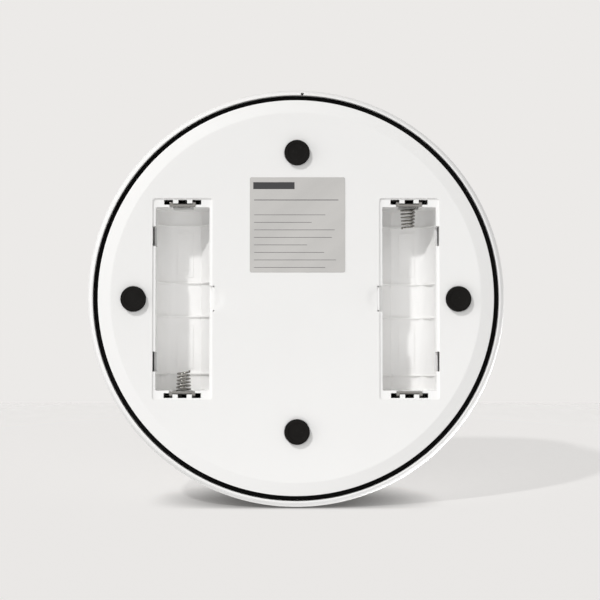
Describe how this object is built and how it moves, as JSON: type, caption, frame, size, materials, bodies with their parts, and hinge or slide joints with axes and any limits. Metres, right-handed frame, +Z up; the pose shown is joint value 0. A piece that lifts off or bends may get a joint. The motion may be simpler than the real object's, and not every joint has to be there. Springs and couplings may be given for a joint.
{
  "type": "microchip pet feeder",
  "caption": "Low round pet feeder with open battery bays underneath, a lift-out steel bowl and a motor-driven hinged lid with a reader coil round the bowl.",
  "frame": {"origin": "on the floor, under the middle of the round body", "axes": "+Z up through the lid, -Y towards the front where the animal eats, +Y towards the hinge and the power inlet"},
  "size_m": [0.244, 0.2439, 0.08],
  "materials": {
    "shell_white": "satin moulded",
    "base_white": "fine matt texture",
    "bay_white": "satin moulded",
    "lid_white": "semi-gloss",
    "inner_plastic": "moulded",
    "foot_rubber": "matt",
    "ring_rubber": "matt",
    "label_foil": "satin printed foil",
    "bowl_steel": "brushed in rings",
    "screw_steel": "zinc plated",
    "contact_nickel": "nickel plated",
    "spring_nickel": "nickel plated wire",
    "coil_copper": "enamelled copper wire",
    "circuit_board": "solder mask",
    "gear_nylon": "natural nylon",
    "motor_steel": "plated can",
    "black_plastic": "moulded",
    "smoked_window": "clear smoked plastic",
    "grey_silicone": "matt silicone",
    "lens_milky": "milky light pipe"
  },
  "bodies": {
    "base": {"base_plate": "base_white", "rating_label": "label_foil", "trim_ring": "ring_rubber", "outer_shell": "shell_white", "main_board": "circuit_board", "power_inlet": "black_plastic", "foot_front": "foot_rubber", "foot_rear": "foot_rubber", "foot_left": "foot_rubber", "foot_right": "foot_rubber", "base_screw_front": "screw_steel", "base_screw_rear": "screw_steel", "base_screw_left": "screw_steel", "base_screw_right": "screw_steel", "battery_bay_left": "bay_white", "battery_bay_right": "bay_white", "spring_plate_left": "contact_nickel", "spring_plate_right": "contact_nickel", "contact_plate_left": "contact_nickel", "contact_plate_right": "contact_nickel", "contact_spring_left": "spring_nickel", "contact_spring_right": "spring_nickel", "top_deck": "shell_white", "bowl_tub": "inner_plastic", "antenna_bobbin": "inner_plastic", "antenna_coil": "coil_copper", "drive_frame": "inner_plastic", "status_lens": "lens_milky", "hinge_bush_left": "gear_nylon", "hinge_bush_right": "gear_nylon", "motor": "motor_steel", "button_board_left": "circuit_board", "button_board_right": "circuit_board"},
    "lid": {"lid_shell": "lid_white", "lid_window": "smoked_window", "lid_seal": "grey_silicone", "hinge_shaft": "screw_steel", "lid_gear": "gear_nylon"},
    "drive_pinion": {"motor_shaft": "screw_steel", "motor_pinion": "gear_nylon"},
    "food_bowl": {"bowl": "bowl_steel"},
    "open_key": {"open_button": "black_plastic"},
    "pair_key": {"pair_button": "black_plastic"}
  },
  "joints": [
    {"name": "lid_hinge", "type": "hinge", "parent": "base", "child": "lid", "pos_m": [0, 0.084, 0.068], "axis": [-1, 0, 0], "range_deg": [0, 95]},
    {"name": "pinion_spin", "type": "hinge", "parent": "base", "child": "drive_pinion", "pos_m": [0, 0.084, 0.05508], "axis": [-1, 0, 0], "range_deg": [-159, 0]},
    {"name": "bowl_lift", "type": "slide", "parent": "base", "child": "food_bowl", "axis": [0, 0, 1], "range_m": [0, 0.009]},
    {"name": "open_button_press", "type": "slide", "parent": "base", "child": "open_key", "axis": [0, 0, -1], "range_m": [0, 0.0006], "stiffness_N_per_m": 500, "springref_m": -0.002},
    {"name": "pair_button_press", "type": "slide", "parent": "base", "child": "pair_key", "axis": [0, 0, -1], "range_m": [0, 0.0006], "stiffness_N_per_m": 500, "springref_m": -0.002}
  ],
  "couplings": [
    {"joint": "pinion_spin", "follows": "lid_hinge", "ratio": -1.6667}
  ]
}
